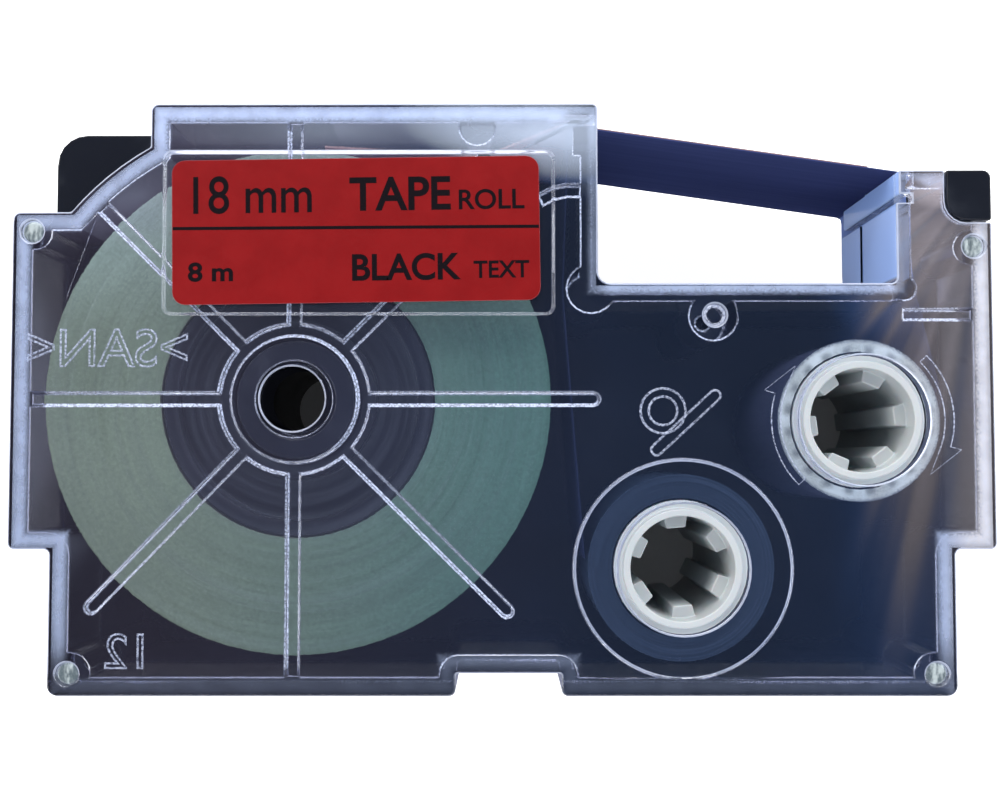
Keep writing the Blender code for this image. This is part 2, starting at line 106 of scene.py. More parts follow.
class Shader:
    """A material with one Principled shader, and short ways to build its nodes."""

    def __init__(self, name, **values):
        self.material = bpy.data.materials.new(name)
        self.material.use_nodes = True
        self.tree = self.material.node_tree
        self.shader = self.tree.nodes["Principled BSDF"]
        coordinates = self.node("TexCoord").outputs["Object"]
        self.place = self.vector("SCALE", coordinates, scale=1 / MM)
        x, y, z = self.split(self.place)
        self.x, self.y, self.z = x, y, z
        for socket, value in values.items():
            self.set(socket.replace("_", " ").title().replace("Ior", "IOR"), value)

    def node(self, kind, **settings):
        made = self.tree.nodes.new("ShaderNode" + kind)
        for name, value in settings.items():
            setattr(made, name, value)
        return made

    def feed(self, socket, value):
        if isinstance(value, bpy.types.NodeSocket):
            self.tree.links.new(value, socket)
        elif hasattr(value, "__len__") and socket.type == "RGBA":
            socket.default_value = (*value[:3], 1.0)
        else:
            socket.default_value = value

    def set(self, name, value):
        """Sets or links one of the Principled shader's sockets."""
        self.feed(self.shader.inputs[name], value)

    def math(self, operation, *values, clamp=False):
        made = self.node("Math", operation=operation, use_clamp=clamp)
        for socket, value in zip(made.inputs, values):
            self.feed(socket, value)
        return made.outputs[0]

    def vector(self, operation, *values, scale=None):
        made = self.node("VectorMath", operation=operation)
        for socket, value in zip(made.inputs, values):
            self.feed(socket, value)
        if scale is not None:
            made.inputs["Scale"].default_value = scale
        return made.outputs["Value" if operation in ("LENGTH", "DOT_PRODUCT") else "Vector"]

    def split(self, value):
        made = self.node("SeparateXYZ")
        self.feed(made.inputs[0], value)
        return made.outputs

    def join(self, x, y, z):
        made = self.node("CombineXYZ")
        for socket, value in zip(made.inputs, (x, y, z)):
            self.feed(socket, value)
        return made.outputs[0]

    def add(self, *values):
        total = values[0]
        for value in values[1:]:
            total = self.math("ADD", total, value)
        return total

    def times(self, *values):
        total = values[0]
        for value in values[1:]:
            total = self.math("MULTIPLY", total, value)
        return total

    def ramp(self, value, low, high, start=0.0, end=1.0):
        """A smooth step from one level to another as value goes from low to high."""
        made = self.node("MapRange", interpolation_type="SMOOTHSTEP")
        for socket, given in zip(made.inputs, (value, low, high, start, end)):
            self.feed(socket, given)
        return made.outputs[0]

    def blend(self, factor, first, second):
        """A colour between two colours."""
        made = self.node("Mix", data_type="RGBA")
        self.feed(made.inputs[0], factor)
        self.feed(made.inputs[6], first)
        self.feed(made.inputs[7], second)
        return made.outputs[2]

    def noise(self, size, detail=3.0, place=None, roughness=0.55):
        """Noise between 0 and 1 whose features are about size millimetres across."""
        made = self.node("TexNoise")
        self.feed(made.inputs["Vector"], self.place if place is None else place)
        made.inputs["Scale"].default_value = 1 / size
        made.inputs["Detail"].default_value = detail
        made.inputs["Roughness"].default_value = roughness
        return made.outputs[0]

    def radius(self, axis):
        """Distance from an upright axis, in millimetres."""
        across, along = self.from_axis(axis)
        return self.vector("LENGTH", self.join(across, along, 0.0))

    def angle(self, axis):
        """The direction seen from an upright axis, in radians."""
        across, along = self.from_axis(axis)
        return self.math("ARCTAN2", along, across)

    def from_axis(self, axis):
        return self.math("SUBTRACT", self.x, axis[0]), self.math("SUBTRACT", self.y, axis[1])

    def within(self, value, low, high, soft=0.3):
        """1 where value is well inside a stretch, and 0 outside it."""
        return self.times(self.ramp(value, low, low + soft), self.ramp(value, high, high - soft))

    def winding(self, axis, pitch, detail=2.0):
        """Fine rings round an axis, as the edges of a wound strip show."""
        across = self.times(self.radius(axis), 1 / pitch)
        around = self.times(self.angle(axis), 0.4)
        return self.noise(1.0, detail, self.join(across, around, 0.0))

    def spot(self, centre, size, turn=0.0):
        """1 in the middle of a soft ellipse on the XY plane, and 0 outside it."""
        made = self.node("Mapping", vector_type="TEXTURE")
        self.feed(made.inputs["Vector"], self.join(self.x, self.y, 0.0))
        made.inputs["Location"].default_value = (*centre, 0.0)
        made.inputs["Rotation"].default_value = (0.0, 0.0, math.radians(turn))
        made.inputs["Scale"].default_value = (*size, 1.0)
        gradient = self.node("TexGradient", gradient_type="SPHERICAL")
        self.feed(gradient.inputs[0], made.outputs[0])
        return gradient.outputs["Fac"]

    def bump(self, height, depth, strength=1.0):
        """Raises the surface by height times depth millimetres."""
        made = self.node("Bump")
        made.inputs["Strength"].default_value = strength
        made.inputs["Distance"].default_value = depth * MM
        self.feed(made.inputs["Height"], height)
        self.set("Normal", made.outputs[0])

    def veil(self, amount, colour, facing=None):
        """Lays a thin scattering haze over the shader. With facing, it is lit as if it faced that way."""
        haze = self.node("BsdfDiffuse")
        self.feed(haze.inputs["Color"], colour)
        if facing:
            self.feed(haze.inputs["Normal"], self.join(*facing))
        self.mix_in(haze.outputs[0], amount)

    def flatness(self):
        """Nearly 1 where a wall is seen at a flat angle, and 0 where it is seen face on."""
        weight = self.node("LayerWeight")
        weight.inputs["Blend"].default_value = 0.5
        return self.ramp(weight.outputs["Facing"], 0.4, 0.66, 0.0, 0.97)

    def mirror(self, amount):
        """Mixes in a dark, slightly blurred mirror."""
        gloss = self.node("BsdfGlossy")
        gloss.inputs["Color"].default_value = (0.15, 0.16, 0.23, 1.0)
        gloss.inputs["Roughness"].default_value = 0.15
        self.mix_in(gloss.outputs[0], amount)

    def mix_in(self, other, amount):
        """Mixes another shader over the one that the material shows."""
        output = self.tree.nodes["Material Output"].inputs["Surface"]
        mixer = self.node("MixShader")
        self.feed(mixer.inputs[0], amount)
        self.tree.links.new(output.links[0].from_socket, mixer.inputs[1])
        self.tree.links.new(other, mixer.inputs[2])
        self.tree.links.new(mixer.outputs[0], output)

    def pass_lamp_light(self, tint):
        """Lets light reach what is behind, which bent rays would lose."""
        rays = self.node("LightPath").outputs
        open_to = self.math("MAXIMUM", rays["Is Shadow Ray"], rays["Is Diffuse Ray"])
        through = self.node("BsdfTransparent")
        through.inputs["Color"].default_value = (*tint, 1.0)
        self.mix_in(through.outputs[0], open_to)

    def within_rim(self):
        """1 over the case's room, and 0 over its outer walls and the window's."""
        across = self.math("ABSOLUTE", self.x)
        narrower = self.ramp(self.y, -9.9, -10.3, 0.0, 3.2)
        sides = self.ramp(self.add(across, narrower), 35.3, 34.9)
        room = self.times(sides, self.within(self.y, -20.9, 20.9, 0.4))
        by_window = self.times(self.within(self.x, 7.6, 31.0, 0.4), self.ramp(self.y, 6.9, 7.2))
        return self.times(room, self.opposite(by_window))

    def opposite(self, value):
        return self.math("SUBTRACT", 1.0, value)

    def normal(self):
        return self.node("NewGeometry").outputs["Normal"]

    def level(self):
        """How level the surface is: 1 on a flat top or underside, 0 on an upright wall."""
        return self.math("ABSOLUTE", self.split(self.normal())[2])


# ---------------------------------------------------------------- materials


def cover_glare(s):
    """The lamps' soft reflections, painted on the cover."""
    glare = 0.0
    for centre, reach, turn, strength in GLARES:
        glare = s.add(glare, s.times(s.spot(centre, reach, turn), strength))
    return glare


def cover_streaks(s):
    """Faint painted light streaks that fan out from the cover's right back corner."""
    streaks = s.noise(0.11, 2.0, s.join(s.angle(STREAK_CORNER), 0.0, 0.0))
    streaks = s.ramp(streaks, 0.35, 0.7, 0.35, 1.0)
    return s.times(streaks, s.ramp(s.radius(STREAK_CORNER), 60.0, 14.0), s.ramp(s.x, 24.0, 34.0))


def light_under_roof(s, grain, inside):
    """How much painted light the rounded edges of ribs and rings show, under the cover's roof: painted
    highlights.
    """
    # Seen from inside the plastic normals point inwards, so sides that face left and front get the
    # brighter painted highlight.
    facing = s.vector("DOT_PRODUCT", s.normal(), (0.6, 0.7, 0.0))
    # Painted shade: ribs in the lower left get half the painted highlight.
    low_left = s.times(s.ramp(s.x, -12.5, -13.5), s.ramp(s.y, -0.8, -1.8))
    return s.times(
        s.ramp(facing, -0.5, 0.6, 0.22, 1.3),
        s.ramp(grain, 0.0, 1.0, 0.26, 0.88),
        s.ramp(inside, 0.0, 1.0, 0.1, 1.0),
        s.ramp(s.radius(TAPE_AXIS), 3.6, 4.2, 0.35, 1.0),
        s.ramp(s.radius(SUPPLY_AXIS), 8.7, 9.2, 0.3, 1.0),
        s.ramp(low_left, 0.0, 1.0, 1.0, 0.5),
    )


def light_on_top(s):
    """How much painted light the rounded edges on the cover's top show: little in front and round the
    label.
    """
    recess = s.times(s.within(s.x, -26.5, 4.6), s.within(s.y, 5.8, 18.6))
    return s.times(s.ramp(s.y, -21.5, -20.5, 0.1, 0.45), s.ramp(recess, 0.0, 1.0, 1.0, 0.3))


def window_wall(s, upright):
    """Where the cover stands at the window's right, and how much painted light its left face shows as a
    bright blue haze.
    """
    place = s.times(s.within(s.x, 29.6, 31.6, 0.2), s.ramp(s.y, 9.0, 9.3))
    face = s.math("MAXIMUM", upright, s.ramp(s.z, ROOF_UNDER, ROOF_UNDER - 0.4))
    return place, s.times(place, face, s.ramp(s.x, 30.7, 30.5, 0.0, 0.80))


def clear_plastic():
    """The cover: clear plastic that bends light, with a faint haze that varies over its faces, painted
    lamp reflections and streaks on its flat faces, and painted highlights on its rounded edges.
    """
    s = Shader("clear_plastic", base_color=(0.93, 0.95, 1.0), roughness=0.03, ior=1.49)
    s.set("Transmission Weight", 1.0)
    level = s.level()
    flat = s.ramp(level, 0.96, 0.999)
    upright = s.ramp(level, 0.35, 0.05)
    rounded = s.math("SUBTRACT", s.opposite(flat), upright, clamp=True)
    to_right = s.ramp(s.x, -30.0, 16.0)
    cloud = s.noise(14.0, 3.0)
    grain = s.ramp(s.noise(0.16, 2.0), 0.36, 0.64)
    glare = cover_glare(s)
    streaks = cover_streaks(s)
    inside = s.within_rim()
    under_roof = s.ramp(s.z, ROOF_UNDER + 0.1, ROOF_UNDER)
    wall, frosted = window_wall(s, upright)

    # Haze on the flat faces, with the painted lamp reflections and streaks added in.
    haze = s.add(
        s.times(s.ramp(to_right, 0.0, 1.0, 0.0115, 0.011), s.ramp(cloud, 0.2, 0.8, 0.75, 1.25)),
        s.times(glare, s.ramp(cloud, 0.25, 0.75, 0.7, 1.2)),
        s.times(streaks, 0.085),
    )
    # Painted highlights on the rounded edges, under the roof and on top.
    painted_edge_light = s.add(
        s.times(under_roof, light_under_roof(s, grain, inside)),
        s.times(s.opposite(under_roof), light_on_top(s)),
    )
    body = s.blend(to_right, (0.46, 0.38, 0.66), (0.09, 0.28, 0.85))
    # The haze's colour is paler where the painted glare and streaks lie.
    body = s.blend(s.ramp(glare, 0.0, 0.12), body, (0.62, 0.72, 0.90))
    body = s.blend(s.ramp(streaks, 0.05, 0.5), body, (0.68, 0.60, 0.64))
    colour = s.blend(flat, (0.66, 0.72, 0.90), body)
    s.bump(s.add(grain, s.times(cloud, 2.0)), 0.004, 0.3)

    elsewhere = s.opposite(wall)
    s.mirror(s.times(s.flatness(), upright, elsewhere))
    s.mirror(s.times(rounded, under_roof, s.ramp(inside, 0.0, 1.0, 0.95, 0.35), elsewhere))
    s.veil(s.add(s.times(flat, haze), s.times(rounded, painted_edge_light)), colour)
    # Painted light: the window wall's left face gets a bright blue haze, lit as if it faced left.
    s.veil(frosted, (0.32, 0.49, 0.94), (-1.0, 0.0, 0.0))
    s.pass_lamp_light((0.95, 0.96, 0.98))
    return s.material


def cover_glow():
    """Painted light in the rounded rim of the cover, as a frosted-looking band: strongest at the back and
    right, fading inwards.
    """
    s = Shader("cover_glow", roughness=0.35, ior=1.5, specular_ior_level=0.2)
    inset = s.node("Attribute", attribute_name="inset").outputs["Fac"]
    grain = s.noise(0.16, 3.0)
    back = s.ramp(s.y, 17.0, 21.0)
    front = s.ramp(s.y, -17.0, -21.0)
    right = s.ramp(s.x, 33.0, 36.0)
    window_side = s.times(s.ramp(s.y, 5.0, 6.5), s.within(s.x, 4.0, 33.0, 1.5))
    window_front = s.times(s.ramp(s.y, 9.6, 8.9), s.ramp(s.x, 7.0, 8.5), s.ramp(s.x, 30.6, 29.8))
    amount = s.add(
        0.35,
        s.times(back, 0.22),
        s.times(front, -0.31),
        s.times(right, 0.35),
        s.times(window_side, -0.17),
        s.times(window_side, window_front, 0.45),
    )
    start = s.ramp(inset, 0.1, 0.7, 0.55, 1.0)
    reach = s.add(1.5, s.times(window_side, -0.65), s.times(grain, -0.6))
    fade = s.ramp(s.math("SUBTRACT", inset, reach), 0.4, -0.4)
    patches = s.ramp(s.noise(2.0, 3.0), 0.3, 0.7, 0.8, 1.1)
    s.set("Alpha", s.times(amount, start, fade, patches))
    colour = s.blend(right, (0.50, 0.62, 0.92), (0.80, 0.72, 0.66))
    s.set("Base Color", s.blend(grain, colour, (0.70, 0.78, 0.95)))
    return s.material


def clear_marks():
    """Thin raised outlines under the cover, coloured pale as painted light that they catch along their
    whole length.
    """
    s = Shader("clear_marks", roughness=0.25, ior=1.5)
    grain = s.ramp(s.noise(0.2, 2.0), 0.35, 0.62, 0.10, 0.62)
    s.set("Alpha", s.times(grain, s.ramp(s.noise(3.0), 0.3, 0.7, 0.6, 1.1)))
    s.set("Base Color", s.blend(grain, (0.40, 0.45, 0.62), (0.78, 0.82, 0.92)))
    return s.material


def pin_end():
    """The ends of the cover's pins, broken clear plastic with pale streaks."""
    s = Shader("pin_end", ior=1.49, specular_ior_level=0.5)
    streak = s.noise(0.5, 3.0, s.join(s.x, s.times(s.y, 0.35), s.times(s.z, 0.3)))
    grain = s.noise(0.12, 2.0)
    s.set("Base Color", s.blend(s.ramp(streak, 0.4, 0.62), (0.10, 0.13, 0.145), (0.44, 0.50, 0.51)))
    s.set("Roughness", s.ramp(grain, 0.3, 0.7, 0.2, 0.45))
    s.bump(streak, 0.15)
    return s.material


def black_plastic():
    """The tray: satin black with a very fine moulded grain and a few paler rubbed patches."""
    s = Shader("black_plastic", ior=1.5, specular_ior_level=0.28)
    grain = s.noise(0.12, 2.0)
    rubbed = s.ramp(s.noise(6.0, 4.0), 0.45, 0.75)
    s.set("Base Color", s.blend(rubbed, (0.0028, 0.0045, 0.0105), (0.007, 0.010, 0.019)))
    s.set("Roughness", s.ramp(s.add(grain, rubbed), 0.4, 1.5, 0.34, 0.52))
    s.bump(grain, 0.008, 0.5)
    return s.material


def core_plastic():
    """The tape core: black, turned, with faint rings on its top face."""
    s = Shader("core_plastic", ior=1.5, specular_ior_level=0.15)
    rings = s.winding(TAPE_AXIS, 0.9, 1.0)
    line = s.ramp(rings, 0.52, 0.72)
    s.set("Base Color", s.blend(line, (0.004, 0.005, 0.010), (0.010, 0.012, 0.020)))
    s.set("Roughness", s.ramp(rings, 0.2, 0.8, 0.3, 0.5))
    s.bump(rings, 0.02, 0.6)
    return s.material


def tape_edges():
    """The wound tape: fine rings of tape and backing paper, with painted light, warmer at its left and
    paler at its back, and painted shade towards its front and on its upright sides.
    """
    s = Shader("tape_edges", specular_ior_level=0.3)
    rings = s.winding(TAPE_AXIS, 0.16, 3.0)
    broad = s.winding(TAPE_AXIS, 1.4, 2.0)
    grain = s.noise(0.22, 3.0)
    # Painted light: the tone is warmer at the left and paler at the back.
    to_right = s.ramp(s.x, -33.0, 3.0)
    tone = s.blend(to_right, (0.128, 0.166, 0.118), (0.048, 0.112, 0.092))
    tone = s.blend(s.ramp(s.y, 4.0, 16.0), tone, (0.26, 0.35, 0.30))
    # Painted shade: darker towards the front, times the rings and grain.
    shade = s.times(
        s.ramp(s.y, -18.0, 0.0, 0.82, 1.0),
        s.ramp(rings, 0.25, 0.75, 0.88, 1.10),
        s.ramp(broad, 0.3, 0.7, 0.95, 1.04),
        s.ramp(grain, 0.25, 0.75, 0.86, 1.14),
    )
    darker = s.node("Mix", data_type="RGBA", blend_type="MULTIPLY")
    darker.inputs[0].default_value = 1.0
    s.feed(darker.inputs[6], tone)
    s.feed(darker.inputs[7], s.join(shade, shade, shade))
    # Painted shade: the upright sides get a dull dark colour.
    level = s.ramp(s.level(), 0.3, 0.7)
    s.set("Base Color", s.blend(level, (0.15, 0.16, 0.14), darker.outputs[2]))
    s.set("Roughness", s.ramp(rings, 0.2, 0.8, 0.62, 0.8))
    s.bump(rings, 0.015, 0.8)
    return s.material


def label_film():
    """The red sticker: printed film with a faint mottle and slightly paler where its edges turn down."""
    s = Shader("label_film", ior=1.48, specular_ior_level=0.25)
    mottle = s.noise(2.5, 4.0)
    fibre = s.noise(0.1, 2.0)
    paler_edge = s.ramp(s.level(), 0.98, 0.9)
    red = s.blend(s.ramp(mottle, 0.3, 0.7), (0.200, 0.0035, 0.0045), (0.228, 0.0050, 0.0060))
    s.set("Base Color", s.blend(paler_edge, red, (0.42, 0.07, 0.08)))
    s.set("Roughness", s.ramp(fibre, 0.3, 0.7, 0.34, 0.46))
    s.bump(fibre, 0.003, 0.4)
    return s.material


def print_ink():
    s = Shader("print_ink", specular_ior_level=0.08)
    speck = s.noise(0.12, 2.0)
    s.set("Base Color", s.blend(s.ramp(speck, 0.62, 0.8), (0.006, 0.004, 0.006), (0.030, 0.008, 0.012)))
    s.set("Roughness", s.ramp(speck, 0.3, 0.7, 0.4, 0.55))
    return s.material


def tape_film():
    """The label tape in the window: red on its printed face, backing paper behind."""
    s = Shader("tape_film", ior=1.48)
    behind = s.ramp(s.split(s.normal())[1], -0.1, 0.1)
    fibre = s.noise(0.25, 4.0)
    paper = s.blend(fibre, (0.33, 0.32, 0.27), (0.42, 0.41, 0.36))
    red = s.blend(s.ramp(s.noise(3.0), 0.3, 0.7), (0.27, 0.009, 0.016), (0.32, 0.012, 0.021))
    s.set("Base Color", s.blend(behind, red, paper))
    s.set("Roughness", s.ramp(behind, 0.0, 1.0, 0.38, 0.75))
    s.bump(fibre, 0.004, 0.4)
    return s.material


def slip_film():
    """The clear discs over and under the roll, with hair-fine rings from rubbing."""
    s = Shader("slip_film", roughness=0.28, ior=1.5)
    rings = s.winding(TAPE_AXIS, 0.5, 2.0)
    s.set("Alpha", s.ramp(rings, 0.35, 0.75, 0.006, 0.022))
    s.set("Base Color", s.blend(rings, (0.35, 0.45, 0.60), (0.60, 0.70, 0.85)))
    return s.material


def white_plastic():
    """The hubs: milky plastic with a hardly visible mottle and a fine grain."""
    s = Shader("white_plastic", ior=1.49, subsurface_weight=0.15, subsurface_scale=0.6 * MM)
    tone = s.noise(3.0, 3.0)
    grain = s.noise(0.1, 2.0)
    s.set("Base Color", s.blend(tone, (0.47, 0.51, 0.53), (0.56, 0.59, 0.60)))
    s.set("Roughness", s.ramp(grain, 0.3, 0.7, 0.34, 0.46))
    s.bump(grain, 0.004, 0.4)
    return s.material


def wound_ribbon():
    """Ink ribbon wound on the supply hub: indigo, with fine rings."""
    s = Shader("wound_ribbon", specular_ior_level=0.2)
    rings = s.winding(SUPPLY_AXIS, 0.12, 3.0)
    s.set("Base Color", s.blend(s.ramp(rings, 0.3, 0.7), (0.007, 0.014, 0.030), (0.015, 0.028, 0.056)))
    s.set("Roughness", s.ramp(rings, 0.2, 0.8, 0.35, 0.6))
    s.bump(rings, 0.015, 0.7)
    return s.material


def leader_roll():
    """Clear leader wound on the take-up hub: a frosted ring with a row of soft grey sight marks."""
    s = Shader("leader_roll", ior=1.5)
    marks_in_turn = 20
    radius = s.radius(TAKEUP_AXIS)
    turns = s.times(s.angle(TAKEUP_AXIS), marks_in_turn / math.tau)
    nearness = s.math("ABSOLUTE", s.math("SUBTRACT", s.math("FRACT", s.add(turns, 20.0)), 0.5))
    blur = s.times(s.noise(0.5), 0.3)
    around = s.ramp(s.add(nearness, blur), 0.52, 0.18)
    across = s.ramp(s.add(s.math("ABSOLUTE", s.math("SUBTRACT", radius, 5.45)), blur), 0.75, 0.2)
    mark = s.times(around, across, 0.75)
    frost = s.noise(0.14, 3.0)
    patches = s.ramp(s.noise(2.2, 2.0), 0.35, 0.65)
    film = s.blend(patches, (0.34, 0.38, 0.38), (0.56, 0.63, 0.66))
    film = s.blend(s.ramp(frost, 0.3, 0.7, 0.0, 0.35), film, (0.72, 0.78, 0.82))
    film = s.blend(mark, film, (0.13, 0.15, 0.165))
    rim = s.ramp(s.add(radius, s.times(frost, 0.7)), 6.3, 6.75)
    face = s.blend(rim, film, (0.03, 0.045, 0.08))
    s.set("Base Color", s.blend(s.ramp(s.level(), 0.3, 0.7), (0.020, 0.026, 0.060), face))
    s.set("Roughness", s.ramp(frost, 0.2, 0.8, 0.35, 0.6))
    s.bump(frost, 0.02, 0.6)
    return s.material


def running_ribbon():
    """The ribbon across the window: ink-coated, and clear leader where it goes back in.

    The ink is painted darker inside the case, as painted shade, and the leader is nearly invisible there.
    """
    leader_from, left_wall = 31.35, WINDOW_LEFT + 0.24
    s = Shader("running_ribbon", ior=1.5, specular_ior_level=0.0)
    leader = s.ramp(s.x, leader_from, leader_from + 0.05)
    streak = s.noise(1.0, 3.0, s.join(s.times(s.x, 0.08), s.times(s.y, 0.08), s.times(s.z, 2.2)))
    ink = s.blend(s.ramp(streak, 0.3, 0.7), (0.040, 0.054, 0.158), (0.046, 0.061, 0.176))
    film = s.blend(streak, (0.12, 0.18, 0.42), (0.16, 0.23, 0.50))
    # Painted shade: left of the window's left wall, inside the case, the ink goes nearly black.
    ink = s.blend(s.ramp(s.x, left_wall, left_wall - 0.4, 0.0, 0.85), ink, (0.004, 0.006, 0.012))
    s.set("Base Color", s.blend(leader, ink, film))
    under_cover = s.ramp(s.y, 10.0, 9.0)
    s.set("Alpha", s.ramp(s.times(leader, s.ramp(under_cover, 0.0, 1.0, 0.06, 1.0)), 0.0, 1.0, 1.0, 0.1))
    s.set("Roughness", s.ramp(streak, 0.2, 0.8, 0.42, 0.55))
    return s.material


def felt():
    s = Shader("felt", roughness=0.95, sheen_weight=0.4)
    fibre = s.noise(0.15, 5.0)
    s.set("Base Color", s.blend(fibre, (0.16, 0.16, 0.17), (0.32, 0.32, 0.33)))
    s.bump(fibre, 0.08)
    return s.material


def floor_paper():
    """A pale sheet with a hardly visible tooth, which glows a little except under the case, where the
    missing glow is a painted shadow.
    """
    s = Shader("floor_paper", roughness=0.9, specular_ior_level=0.2)
    s.set("Base Color", s.blend(s.noise(2.0, 4.0), (0.86, 0.86, 0.865), (0.90, 0.90, 0.90)))
    s.set("Emission Color", (1.0, 1.0, 1.0))
    # Painted shadow: under the case the floor hardly glows, so the case's holes look dark.
    across = s.times(s.ramp(s.x, -35.0, -33.0), s.ramp(s.x, 36.0, 34.0))
    shadow_under_case = s.times(across, s.ramp(s.y, 8.0, 5.0), s.ramp(s.y, -21.0, -19.0))
    s.set("Emission Strength", s.ramp(shadow_under_case, 0.0, 1.0, 0.95, 0.012))
    return s.material


# ---------------------------------------------------------------- finer edges on the CAD nodes


def smooth_shading():
    """A node group that marks every face smooth."""
    group = bpy.data.node_groups.new("smooth_shading", "GeometryNodeTree")
    for way in ("INPUT", "OUTPUT"):
        group.interface.new_socket("Geometry", in_out=way, socket_type="NodeSocketGeometry")
    entry = group.nodes.new("NodeGroupInput")
    smooth = group.nodes.new("GeometryNodeSetShadeSmooth")
    leave = group.nodes.new("NodeGroupOutput")
    group.links.new(entry.outputs[0], smooth.inputs[0])
    group.links.new(smooth.outputs[0], leave.inputs[0])
    return group


def round_edges(name, width, smooth_group):
    """Rounds a CAD node's sharp edges for the render. Its own mesh stays as it was packed."""
    same_place, same_plane, sharp = 0.002, 1, 40
    node = NODES[name]
    weld = node.modifiers.new("weld", "WELD")
    weld.merge_threshold = same_place * MM
    flat = node.modifiers.new("flat", "DECIMATE")
    flat.decimate_type = "DISSOLVE"
    flat.angle_limit = math.radians(same_plane)
    bevel = node.modifiers.new("round", "BEVEL")
    bevel.width = width * MM
    bevel.segments = 3
    bevel.limit_method = "ANGLE"
    bevel.angle_limit = math.radians(sharp)
    bevel.use_clamp_overlap = False  # a clamp would shrink every edge to suit the tightest one
    smooth = node.modifiers.new("smooth", "NODES")
    smooth.node_group = smooth_group
    normals = node.modifiers.new("normals", "WEIGHTED_NORMAL")
    normals.keep_sharp = True
    triangles = node.modifiers.new("triangles", "TRIANGULATE")
    triangles.keep_custom_normals = True


def finish_cad_nodes(clear):
    """Gives each CAD node its material, and those that have a width here rounded edges."""
    black = black_plastic()
    white = white_plastic()
    slip = slip_film()
    finishes = {
        "upper_case": (clear, 0.18),
        "lower_case": (black, 0.15),
        "face_label": (label_film(), 0.03),
        "tape_core": (core_plastic(), 0.15),
        "tape_roll": (tape_edges(), 0.0),
        "tape_run": (tape_film(), 0.0),
        "upper_slip_sheet": (slip, 0.0),
        "lower_slip_sheet": (slip, 0.0),
        "ribbon_supply_hub": (white, 0.12),
        "ribbon_takeup_hub": (white, 0.12),
        "ribbon_supply_roll": (wound_ribbon(), 0.0),
        "ribbon_leader_roll": (leader_roll(), 0.0),
        "ribbon_run": (running_ribbon(), 0.0),
        "supply_brake_washer": (felt(), 0.1),
    }
    smooth_group = smooth_shading()
    for name, (surface, width) in finishes.items():
        for slot in NODES[name].material_slots:
            slot.material = surface
        if width:
            round_edges(name, width, smooth_group)


# ---------------------------------------------------------------- pieces on the case


def piece_from_mesh(name, bm, surface, body, smooth=False):
    """An object in metres from a bmesh in millimetres, riding on a body."""
    bmesh.ops.recalc_face_normals(bm, faces=bm.faces)
    bmesh.ops.scale(bm, vec=(MM, MM, MM), verts=bm.verts)
    mesh = bpy.data.meshes.new(name)
    bm.to_mesh(mesh)
    bm.free()
    if smooth:
        mesh.shade_smooth()
    mesh.materials.append(surface)
    made = bpy.data.objects.new(name, mesh)
    bpy.context.scene.collection.objects.link(made)
    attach(made, body)
    return made


def arc(centre, radius, start, end, steps):
    """Points on an arc, from one angle to the other in degrees, both ends included."""
    angles = [math.radians(start + (end - start) * i / steps) for i in range(steps + 1)]
    return [(centre[0] + radius * math.cos(a), centre[1] + radius * math.sin(a)) for a in angles]


def ring(centre, radius):
    """A full circle as a closed outline."""
    return arc(centre, radius, 0, 345, 23)


def wire(name, outlines, height, thickness, surface):
    """Closed outlines drawn as thin round beads at one height."""
    curve = bpy.data.curves.new(name, "CURVE")
    curve.dimensions = "3D"
    curve.bevel_depth = thickness / 2 * MM
    curve.bevel_resolution = 2
    for outline in outlines:
        spline = curve.splines.new("POLY")
        spline.points.add(len(outline) - 1)
        for point, (x, y) in zip(spline.points, outline):
            point.co = (x * MM, y * MM, height * MM, 1)
        spline.use_cyclic_u = True
    curve.materials.append(surface)
    made = bpy.data.objects.new(name, curve)
    bpy.context.scene.collection.objects.link(made)
    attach(made, "case")
    return made


def lettering(name, words, left, base, height, cap, surface, wide=1.0, bold=0.0, turn=0.0):
    """Printed words. left and base are where they start, and cap is their capitals' height."""
    font = bpy.data.curves.new(name, "FONT")
    font.body = words
    font.size = cap / CAP_SHARE * MM
    font.offset = bold * MM
    font.extrude = INK_THICK * MM
    font.materials.append(surface)
    made = bpy.data.objects.new(name, font)
    made.location = (left * MM, base * MM, height * MM)
    made.scale = (wide, 1, 1)
    made.rotation_euler.z = math.radians(turn)
    bpy.context.scene.collection.objects.link(made)
    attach(made, "case")
    return made


def moulded_words(name, words, right, base, cap, surface):
    """Outlined words under the cover, back to front as seen from above, starting at the right."""
    made = lettering(name, words, right, base, ROOF_UNDER - 0.05, cap, surface)
    made.data.fill_mode = "NONE"
    made.data.extrude = 0
    made.data.bevel_depth = 0.08 * MM
    made.data.bevel_resolution = 2
    made.scale.x = -1
    return made


def label_point(along, up):
    """A point on the label, from its middle, in the label's own slightly turned directions."""
    turn = math.radians(LABEL_TURN)
    x = LABEL_MIDDLE[0] + along * math.cos(turn) - up * math.sin(turn)
    y = LABEL_MIDDLE[1] + along * math.sin(turn) + up * math.cos(turn)
    return x, y


